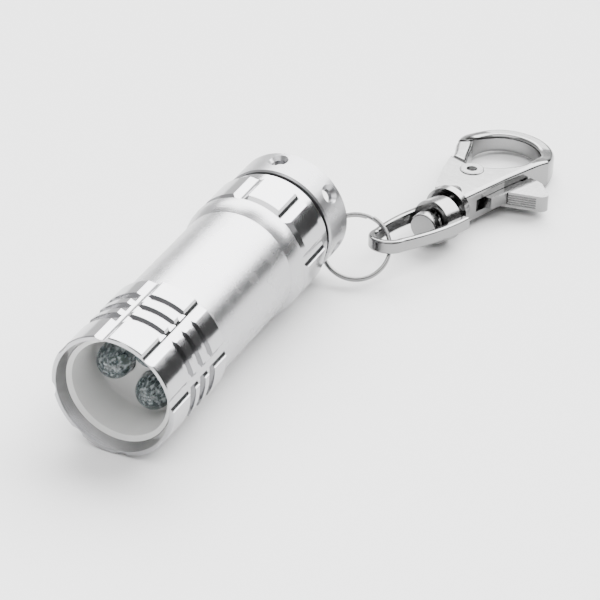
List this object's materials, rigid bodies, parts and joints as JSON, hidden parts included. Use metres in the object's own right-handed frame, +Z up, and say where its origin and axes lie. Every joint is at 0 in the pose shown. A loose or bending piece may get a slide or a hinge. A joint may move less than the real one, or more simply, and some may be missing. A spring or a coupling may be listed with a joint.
{
  "type": "keychain flashlight",
  "caption": "Small round aluminium keychain flashlight with an open lens end, screw-on tail cap with a push button, split ring and swivelling trigger clasp",
  "frame": {"origin": "middle of the whole object's footprint, on the surface that the object rests on", "axes": "+X runs along the torch from its lens end to its tail and is the longest extent; +Z is up; the clasp lies at low Y beside the tail"},
  "size_m": [0.096, 0.0368, 0.0181],
  "materials": {
    "barrel_aluminium": "polished",
    "cap_aluminium": "satin",
    "cup_plastic": "satin",
    "led_clear": "clear",
    "lead_steel": "satin",
    "cell_steel": "satin",
    "board_green": "matte",
    "black_plastic": "matte",
    "contact_brass": "satin",
    "black_rubber": "matte",
    "chrome_plate": "polished"
  },
  "bodies": {
    "torch": {"barrel": "barrel_aluminium", "reflector_cup": "cup_plastic", "led_lens_1": "led_clear", "led_lens_2": "led_clear", "led_lens_3": "led_clear", "led_leads": "lead_steel", "led_board": "board_green", "led_solder": "lead_steel", "led_resistor": "black_plastic", "front_contact": "contact_brass", "battery_sleeve": "black_plastic", "button_cell_1": "cell_steel", "button_cell_2": "cell_steel", "button_cell_3": "cell_steel", "button_cell_4": "cell_steel"},
    "seal": {"o_ring": "black_rubber"},
    "cap": {"tail_cap": "cap_aluminium", "switch_housing": "black_plastic", "switch_cover": "black_plastic", "switch_contact": "contact_brass", "switch_retainer": "black_plastic", "switch_spring": "lead_steel", "negative_spring": "lead_steel"},
    "button": {"rubber_button": "black_rubber", "switch_plunger": "black_plastic"},
    "ring": {"split_ring": "chrome_plate"},
    "eye": {"swivel_eye": "chrome_plate"},
    "clasp": {"clasp_body": "chrome_plate", "swivel_post": "chrome_plate", "gate_pin": "chrome_plate"},
    "gate": {"clasp_gate": "chrome_plate", "gate_spring": "lead_steel"}
  },
  "joints": [
    {"name": "cap_advance", "type": "slide", "parent": "torch", "child": "seal", "axis": [1, 0, 0], "range_m": [0, 0.006]},
    {"name": "cap_turn", "type": "hinge", "parent": "seal", "child": "cap", "pos_m": [-0.04795, 0.00935, 0.00905], "axis": [1, 0, 0], "range_deg": [0, 2885]},
    {"name": "button_press", "type": "slide", "parent": "cap", "child": "button", "axis": [-1, 0, 0], "range_m": [0, 0.001], "stiffness_N_per_m": 1500, "springref_m": -0.0005, "deforming": ["switch_spring"]},
    {"name": "ring_turn", "type": "hinge", "parent": "cap", "child": "ring", "pos_m": [0.00578, -0.00005, 0.00447], "axis": [-0.5901, -0.318, 0.7421], "range_deg": [-12, 12]},
    {"name": "eye_swing", "type": "hinge", "parent": "ring", "child": "eye", "pos_m": [0.00832, -0.00409, 0.00476], "axis": [0.6071, 0.4312, 0.6675], "range_deg": [-10, 10]},
    {"name": "clasp_swivel", "type": "hinge", "parent": "eye", "child": "clasp", "pos_m": [0.02335, -0.0067, 0.00335], "axis": [0.9942, -0.087, -0.0628], "continuous": true},
    {"name": "gate_open", "type": "hinge", "parent": "clasp", "child": "gate", "pos_m": [0.03117, -0.00659, 0.00286], "axis": [-0.0626, 0.0055, -0.998], "range_deg": [0, 15], "stiffness_Nm_per_rad": 0.02, "springref_deg": -17.19}
  ],
  "couplings": [
    {"joint": "cap_turn", "follows": "cap_advance", "rad_per_m": 8377.6}
  ]
}
